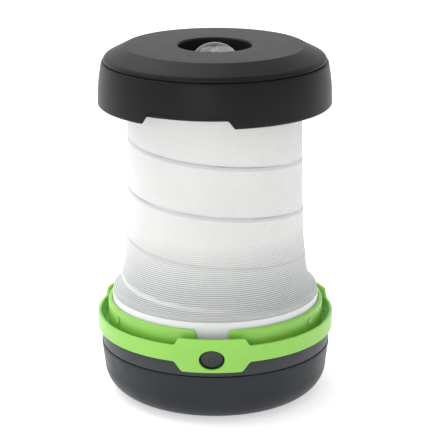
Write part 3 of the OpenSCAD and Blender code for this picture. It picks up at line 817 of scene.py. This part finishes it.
cloth_me = cloth_mesh()
cloth_me.materials.append(CLOTH)
cloth_me.materials.append(CLOTH_IN_SHADED)
cloth_me.shade_smooth()
cloth = bpy.data.objects.new("shade_tube", cloth_me)
scene.collection.objects.link(cloth)
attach(cloth, "base")
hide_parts("shade_cloth")
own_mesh(cloth)


def tube(name, points, r, sides=10, up=(0, 0, 1)):
    """A round wire swept along its points, closed by its ends. No stretch may run along up."""
    verts, faces = [], []
    n = len(points)
    for i, p in enumerate(points):
        t = (points[min(i + 1, n - 1)] - points[max(i - 1, 0)]).normalized()
        s = t.cross(Vector(up)).normalized()
        u = s.cross(t)
        for k in range(sides):
            a = TAU * k / sides
            verts.append(tuple(p + r * (math.cos(a) * s + math.sin(a) * u)))
    for i in range(n - 1):
        for k in range(sides):
            j = (k + 1) % sides
            faces.append((i * sides + k, i * sides + j, (i + 1) * sides + j, (i + 1) * sides + k))
    faces.append(tuple(range(sides)))
    faces.append(tuple((n - 1) * sides + k for k in reversed(range(sides))))
    return mesh_of(name, verts, faces)


def coil(inset, lift):
    """The wire's path inside the cloth, moved inwards and up."""
    points, steps = [], 400
    for i in range(steps + 1):
        z = WIRE_LOW + (WIRE_HIGH - WIRE_LOW) * i / steps
        a = -turns_at(z) * TAU
        r = shade_r(z + lift) - 0.5 - inset
        points.append(Vector((r * math.sin(a), -r * math.cos(a), z + lift)))
    return points


wire = link("wire_coil", tube("wire_coil", coil(0.8, 0), 0.58), "base", ["shade_wire"],
            [STEEL])
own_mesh(wire)
lead = link("lead_wire", tube("lead_wire", coil(0.75, 1.6), 0.48), "base", ["torch_lead"],
            [LEAD])
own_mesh(lead)

# ---------------------------------------------------------------- base, upper part

def foot_section(a):
    """The clamp ring's section. At the front a tongue of it reaches down through the collar's gap."""
    base = 33.2 if from_front(a) < TONGUE else LEDGE + 1.45
    top = FOOT_TOP
    return [(41.95, base), (43.2, base), (43.35, base + 0.15), (43.35, 42.35), (43.27, 42.6), (43.05, 42.75),
            (42.55, 42.8), (42.5, 42.95), (42.5, top - 0.65), (42.4, top - 0.6), (42.2, top - 0.5),
            (42.15, top - 0.1), (42.0, top), (41.95, top), (41.8, top - 0.15), (41.8, base + 0.15)]


tongue_ends = {side * TONGUE % 360 + more for side in (-1, 1) for more in (-0.05, 0.05)}
clamp_ring = spun("clamp_ring", foot_section, sorted(set(azimuths()) | tongue_ends))
link("clamp_ring", clamp_ring, "base", ["foot_ring"], [FROSTED])


def arc_drop(s, r):
    """How far a rounded corner of radius r lies below its tangent, s from where the edge starts."""
    return r - math.sqrt(max(0, r * r - max(0, r - s) ** 2))


def collar_section(a):
    """Wall of the collar, cut down to its floor at the front. Its ends have rounded edges and corners."""
    s = (from_front(a) - GAP) * math.radians(1) * COLLAR_MID
    low_z = COLLAR_FLOOR - 0.6
    top = COLLAR_FLOOR + 0.02 if s <= 0 else COLLAR_TOP - arc_drop(s, GAP_ROUND)
    thin = arc_drop(s, 0.5)
    r_in, r_out = 43.55 + thin, 45.3 - thin
    outer_edge, inner_edge = (1.0, 0.4) if s > 0 else (0.01, 0.01)
    out = [(r_in, low_z), (r_out, low_z)]
    for k in range(7):
        t = math.radians(15 * k)
        out.append((r_out - outer_edge + outer_edge * math.cos(t),
                    top - outer_edge + outer_edge * math.sin(t)))
    for k in range(4):
        t = math.radians(30 * k)
        out.append((r_in + inner_edge - inner_edge * math.sin(t),
                    top - inner_edge + inner_edge * math.cos(t)))
    return [(min(max(r, r_in), r_out), z) for r, z in out]


near = [GAP + math.degrees(s / COLLAR_MID)
        for s in (0.0, 0.01, 0.04, 0.1, 0.2, 0.33, 0.5, 0.7, 1.0, 1.4, GAP_ROUND)]
columns = set(azimuths()) | set(near) | {360 - a for a in near}
collar_wall = spun("collar_wall", collar_section, sorted(columns))
floor_profile = rounded([(37.4, LEDGE, 0.1), (47.85, LEDGE, 0.15), (47.85, COLLAR_FLOOR, 0.35),
                         (37.4, COLLAR_FLOOR, 0.2)], 3)
collar_floor = sector("collar_floor", floor_profile, 9, 351)
lug_line = rounded([(-1.35, 34.6, 0.4), (1.35, 34.6, 0.4), (1.35, 37.4, 0.7), (-1.35, 37.4, 0.7)], 4)
lugs = [bent("lug", lug_line, (), 45.5, 1.1, 0.42, at=s * LUG_AT) for s in (-1, 1)]
bosses = [side_drum("boss", 1.95, 42.6, 43.2, s, 0.1, 48) for s in (-1, 1)]
collar_floor = carved(collar_floor, [("DIFFERENCE", side_drum("pocket", POCKET_R, POCKET_IN, BEYOND, s))
                                     for s in (1, -1)])
SCREW_R = 39.3
screw_holes = [("DIFFERENCE", drum("hole", 1.2, 20, 40, (SCREW_R * math.cos(math.radians(a)),
                                                         SCREW_R * math.sin(math.radians(a)), 0)))
               for a in (30, 150, 225, 315)]
collar_floor = carved(collar_floor, screw_holes)
link("collar_ring", joined("collar_ring", collar_wall, collar_floor, *lugs, *bosses), "base", ["collar"],
     [GREEN])

# ---------------------------------------------------------------- handle

R_MID = BAND_R - BAND_THICK / 2
END = math.radians(120.6) * R_MID
EAR = math.radians(113.2) * R_MID


def x_on(x):
    """Distance along the band of a point that stands x to the side."""
    return arc_x(x, R_MID)


right = [
    (x_on(12.2), TAB_LOW, 1.8), (x_on(15.3), BAND_LOW, 1.6),
    (EAR - 6, BAND_LOW, 0), (END, BAND_LOW, 1.4), (END, BAND_HIGH + 0.4, 1.0),
    (EAR + 4.4, EAR_TOP, 1.3), (EAR - 4.4, EAR_TOP, 1.3), (EAR - 6.2, BAND_HIGH, 1.5),
    (x_on(15.2), BAND_HIGH, 1.4), (x_on(13.3), BAND_HIGH + 3.2, 1.1),
]
left = [(-x, z, r) for x, z, r in reversed(right)]
outline = rounded(right + left, 5)
WINDOW_GAP = 0.4
window = [(x_on((KEY_X + WINDOW_GAP) * math.cos(t)), BUTTON.z + (KEY_Z + WINDOW_GAP) * math.sin(t))
          for t in [TAU * k / 48 for k in range(48)]]
FLANK_IN, FLANK_OUT = BAND_IN - 1, BAND_IN + 0.5
flank = [(FLANK_IN, 0), (FLANK_OUT, 0), (FLANK_OUT, BEYOND), (FLANK_IN, BEYOND)]
band = carved(bent("handle_band", outline, [window], R_MID, BAND_THICK, 0.36),
              [("DIFFERENCE", sector("flank", flank, side * 55 - 14, side * 55 + 14)) for side in (-1, 1)])
pads = []
for side in (-1, 1):
    core = drum("core", BAND_IN - 0.02, 0, BEYOND, (0, 0, 0), count=240)
    pads.append(carved(side_drum("pad", 3.2, 43.0, 47.0, side, 0.3, 64), [("DIFFERENCE", core)]))
link("handle_loop", joined("handle_loop", band, *pads), "handle", ["handle"], [GREEN])

# ---------------------------------------------------------------- base, lower part

RING_TOP, RING_IN, LID = LEDGE - 0.05, HOUSING_R - 2, DECK + 1.4
ring_profile = rounded([(0.5, DECK, 0), (HOUSING_R, DECK, 0.22), (HOUSING_R, RING_TOP, 0.35),
                        (RING_IN, RING_TOP, 0.1), (RING_IN, LID, 0.3), (0.5, LID, 0)], 4)
pad_profile = rounded([(RING_IN, LEDGE - 1, 0), (HOUSING_R, LEDGE - 1, 0), (HOUSING_R, HOUSING_TOP, 0.5),
                       (RING_IN, HOUSING_TOP, 0.5)], 4)
housing_tools = [("UNION", sector("pad", pad_profile, -8, 8, 1.0))]
for side in (-1, 1):
    clip = drum("clip", HOUSING_R - 0.5, DECK + 0.5, LEDGE - 0.06, (0, 0, 0), count=240)
    backing = carved(side_drum("backing", POCKET_R + 1.6, 39.2, BEYOND, side), [("INTERSECT", clip)])
    housing_tools.append(("UNION", backing))
for side in (-1, 1):
    housing_tools.append(("DIFFERENCE", side_drum("pocket", POCKET_R, POCKET_IN, BEYOND, side)))
KEY_PLAY = 0.2
key_hole = drum("key_hole", 1, 40, BEYOND, (0, 0, 0), "Y", count=64)
key_hole.transform(Matrix.Diagonal((KEY_X + KEY_PLAY, -1, KEY_Z + KEY_PLAY, 1)))
key_hole.transform(Matrix.Translation((0, 0, BUTTON.z * MM)))
key_hole.flip_normals()
housing_tools.append(("DIFFERENCE", key_hole))
link("housing_ring", carved(lathe("housing", ring_profile), housing_tools), "base", ["base_housing"],
     [HOUSING])

# The cup: a round corner from the flat rim up to the knee, then a wall that leans out to its edge
CUP_FLAT, CUP_CORNER, CUP_WALL = 35.2, 12.0, 2.0
KNEE_R = CUP_FLAT + CUP_CORNER
CUP_EDGE = CUP_TOP + 0.16


def cup_arc(radius, degrees):
    """Points round the cup's corner, from the underside (0 degrees) to the wall (90)."""
    return [(CUP_FLAT + radius * math.sin(math.radians(t)), CUP_CORNER - radius * math.cos(math.radians(t)))
            for t in degrees]


outer = cup_arc(CUP_CORNER, range(0, 90, 4)) + [(KNEE_R, CUP_CORNER)]
for k in range(1, 9):
    outer.append((KNEE_R + (CUP_R - KNEE_R) * k / 9, CUP_CORNER + (CUP_TOP - 0.35 - CUP_CORNER) * k / 9))
outer += [(CUP_R - 0.02, CUP_EDGE - 0.2), (CUP_R - 0.07, CUP_EDGE - 0.06), (CUP_R - 0.2, CUP_EDGE)]
inner_wall = [(CUP_R - 1.9, CUP_EDGE), (CUP_R - 2.05, CUP_EDGE - 0.2), (KNEE_R - CUP_WALL, CUP_CORNER)]
inner_wall += cup_arc(CUP_CORNER - CUP_WALL, range(85, -1, -5))
cup = lathe("cup", outer + inner_wall + [(1.0, CUP_WALL), (1.0, 0.0)])
cuts = [("DIFFERENCE", block("opening", (-22.8, -29.3, -1), (22.8, 29.3, 3)))]
for x in (-34.5, 34.5):
    for y in (-15, 15):
        cuts.append(("DIFFERENCE", drum("bore", 2.9, -1, 1.6, (x, y, 0))))
link("lower_cup", carved(cup, cuts), "base", ["base_cup"], [CHARCOAL])

# ---------------------------------------------------------------- button

KEY_FACE = HOUSING_R + 0.15
KEY_BACK = 1.3
# The key's rings from its back to its middle: (share of its size, depth below the face)
KEY_RINGS = [(1.0, KEY_BACK), (1.0, 0.9), (1.0, 0.35), (0.985, 0.16), (0.95, 0.05), (0.90, 0.0),
             (0.7, -0.03), (0.45, -0.05), (0.2, -0.06)]
MARK_R, MARK_WIRE = 1.35, 0.2


def key_point(x, z, down):
    """A point of the key: its face is curved like the band, its back is flat."""
    if down == KEY_BACK:
        return x, -(KEY_FACE - KEY_BACK - 0.2), z
    return x, -(math.sqrt(KEY_FACE ** 2 - x * x) - down), z


def power_button():
    """An oval rubber key with a soft edge and a raised on-off mark."""
    verts, faces = [], []
    count = 64
    for share, down in KEY_RINGS:
        for k in range(count):
            t = TAU * k / count
            verts.append(key_point(KEY_X * share * math.cos(t), BUTTON.z + KEY_Z * share * math.sin(t), down))
    last = (len(KEY_RINGS) - 1) * count
    for row in range(0, last, count):
        for k in range(count):
            j = (k + 1) % count
            faces.append((row + k, row + j, row + count + j, row + count + k))
    verts.append(key_point(0, BUTTON.z, KEY_RINGS[-1][1]))
    for k in range(count):
        faces.append((last + k, last + (k + 1) % count, len(verts) - 1))
    faces.append(tuple(reversed(range(count))))
    parts = [mesh_of("key", verts, faces)]
    mid = BUTTON.z - 0.75
    ring_points = [Vector((MARK_R * math.sin(t), 0, mid + MARK_R * math.cos(t)))
                   for t in [math.radians(a) for a in range(-140, 141, 8)]]
    bar_points = [Vector((0, 0, mid - 0.2 - 1.8 * k / 6)) for k in range(7)]
    for points in (ring_points, bar_points):
        for p in points:
            p.y = -(math.sqrt(KEY_FACE ** 2 - p.x ** 2) + 0.04)
        parts.append(tube("mark", points, MARK_WIRE, 8, up=(0, 1, 0)))
    return joined("power_key", *parts)


link("power_key", power_button(), "button", ["power_button"], [BUTTON_RUBBER])

# ---------------------------------------------------------------- stage

FLOOR = 6
floor_me = bpy.data.meshes.new("floor")
floor_me.from_pydata([(-FLOOR, -FLOOR, 0), (FLOOR, -FLOOR, 0), (FLOOR, FLOOR, 0), (-FLOOR, FLOOR, 0)], [],
                     [(0, 1, 2, 3)])
floor = bpy.data.objects.new("floor", floor_me)
scene.collection.objects.link(floor)
paper, _, p = material("paper")
p.inputs["Base Color"].default_value = (0.9, 0.9, 0.9, 1)
p.inputs["Roughness"].default_value = 0.9
p.inputs["Specular IOR Level"].default_value = 0.1
p.inputs["Emission Color"].default_value = (1, 1, 1, 1)
p.inputs["Emission Strength"].default_value = 0.5
floor_me.materials.append(paper)


def area(name, place, target, size, power):
    """A soft white light at a place, turned to its target. Metres and watts."""
    li = bpy.data.lights.new(name, "AREA")
    li.shape = "RECTANGLE"
    li.size, li.size_y = size
    li.energy = power
    ob = bpy.data.objects.new(name, li)
    scene.collection.objects.link(ob)
    ob.location = place
    ob.rotation_euler = (Vector(target) - Vector(place)).to_track_quat("-Z", "Y").to_euler()


# The surroundings: bright behind the object on its left, dimmer at the front right
world = bpy.data.worlds.new("studio")
world.use_nodes = True
wt = world.node_tree
wt.nodes["Background"].inputs["Color"].default_value = (1, 1, 1, 1)
facing = wt.nodes.new("ShaderNodeVectorMath")
facing.operation = "DOT_PRODUCT"
facing.inputs[1].default_value = (-0.5, 0.6, 0.2)
wt.links.new(wt.nodes.new("ShaderNodeTexCoord").outputs["Generated"], facing.inputs[0])
wt.links.new(spread(wt, facing.outputs["Value"], 0.48, 1.02, -0.75, 0.75),
             wt.nodes["Background"].inputs["Strength"])
scene.world = world
area("overhead", (-0.4, 0.25, 1.05), (0, 0, 0.05), (1.0, 0.9), 5.2)
area("key", (-0.3, -1.3, 0.32), (0, 0, 0.08), (0.6, 0.5), 2.6)
area("back_left", (-1.0, 0.9, 0.4), (0, 0, 0.07), (0.5, 0.9), 0.6)
area("back_right", (1.0, 0.7, 0.4), (0, 0, 0.07), (0.4, 0.9), 0.3)

# The camera looks from a little to the right of the front, and down, at a point on the axis
AZIMUTH, ELEVATION, ROLL = math.radians(1.7), math.radians(17.03), math.radians(-0.1)
DISTANCE, LOOK_AT = 0.746, (0, 0, 0.071)
camera = bpy.data.cameras.new("camera")
camera.lens = 142.9
camera.sensor_width = 36
camera.shift_x = 0.0197
camera.clip_start, camera.clip_end = 0.05, 30
cam = bpy.data.objects.new("camera", camera)
scene.collection.objects.link(cam)
back = Vector((math.sin(AZIMUTH) * math.cos(ELEVATION), -math.cos(AZIMUTH) * math.cos(ELEVATION),
               math.sin(ELEVATION)))
cam.location = Vector(LOOK_AT) + back * DISTANCE
cam.rotation_euler = ((-back).to_track_quat("-Z", "Y").to_matrix() @ Matrix.Rotation(ROLL, 3, "Z")).to_euler()
scene.camera = cam
scene.view_settings.view_transform = "Standard"
